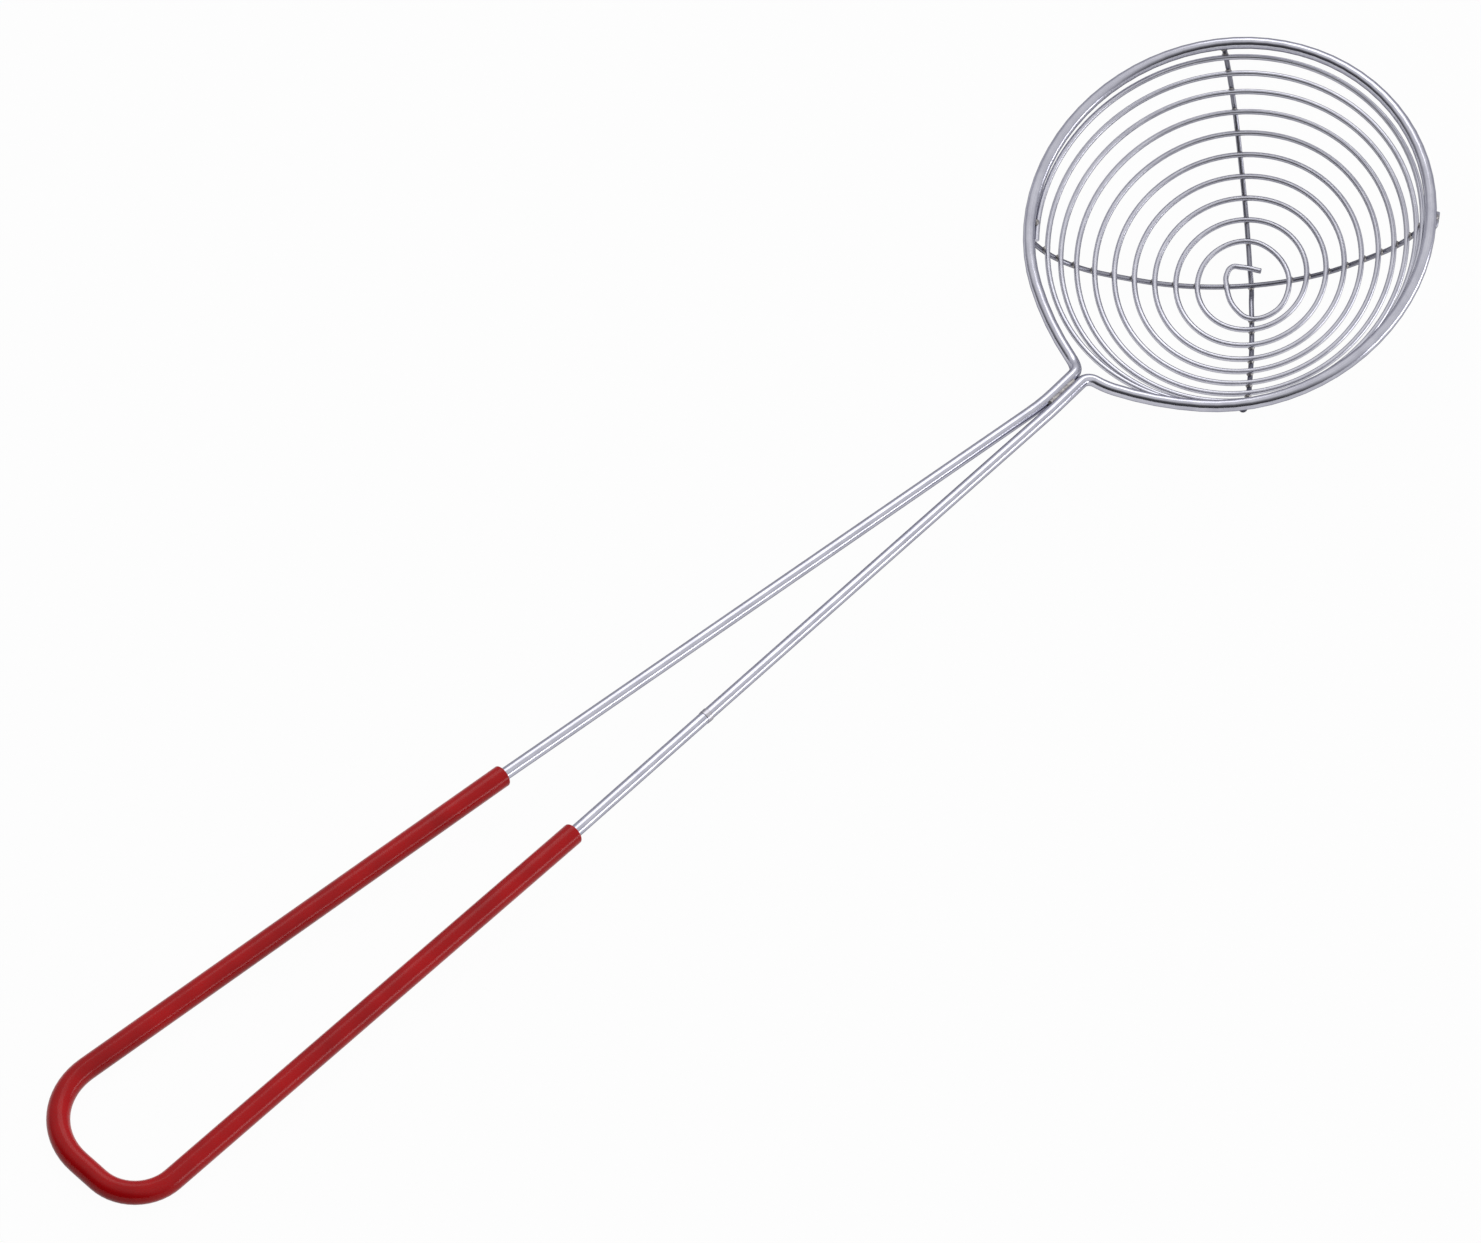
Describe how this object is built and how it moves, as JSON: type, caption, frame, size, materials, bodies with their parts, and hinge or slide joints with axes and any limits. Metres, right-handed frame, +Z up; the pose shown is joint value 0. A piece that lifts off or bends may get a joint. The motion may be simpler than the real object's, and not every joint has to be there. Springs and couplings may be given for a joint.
{
  "type": "spider skimmer",
  "caption": "Round wire skimmer: a coiled wire basket hangs in a ring whose long wire handle ends in a closed loop with a soft sleeve.",
  "frame": {"origin": "centre of the bounding box on the table, with the skimmer lying at rest on its basket and its loop's end", "axes": "+Z up from the table, +Y from the handle towards the basket, +X across the handle"},
  "size_m": [0.12, 0.5012, 0.0682],
  "materials": {
    "frame_steel": "bright drawn stainless steel wire",
    "basket_steel": "satin drawn stainless steel wire",
    "weld_metal": "dull resistance weld",
    "red_sleeve": "soft semi-gloss vinyl"
  },
  "bodies": {
    "root": {"frame_wire": "frame_steel", "grip_sleeve": "red_sleeve", "basket_spiral": "basket_steel", "over_rib": "basket_steel", "under_rib": "basket_steel", "over_rib_welds": "weld_metal", "under_rib_welds": "weld_metal", "centre_weld": "weld_metal", "rim_welds": "weld_metal", "neck_weld": "weld_metal", "butt_weld": "weld_metal"}
  },
  "joints": []
}
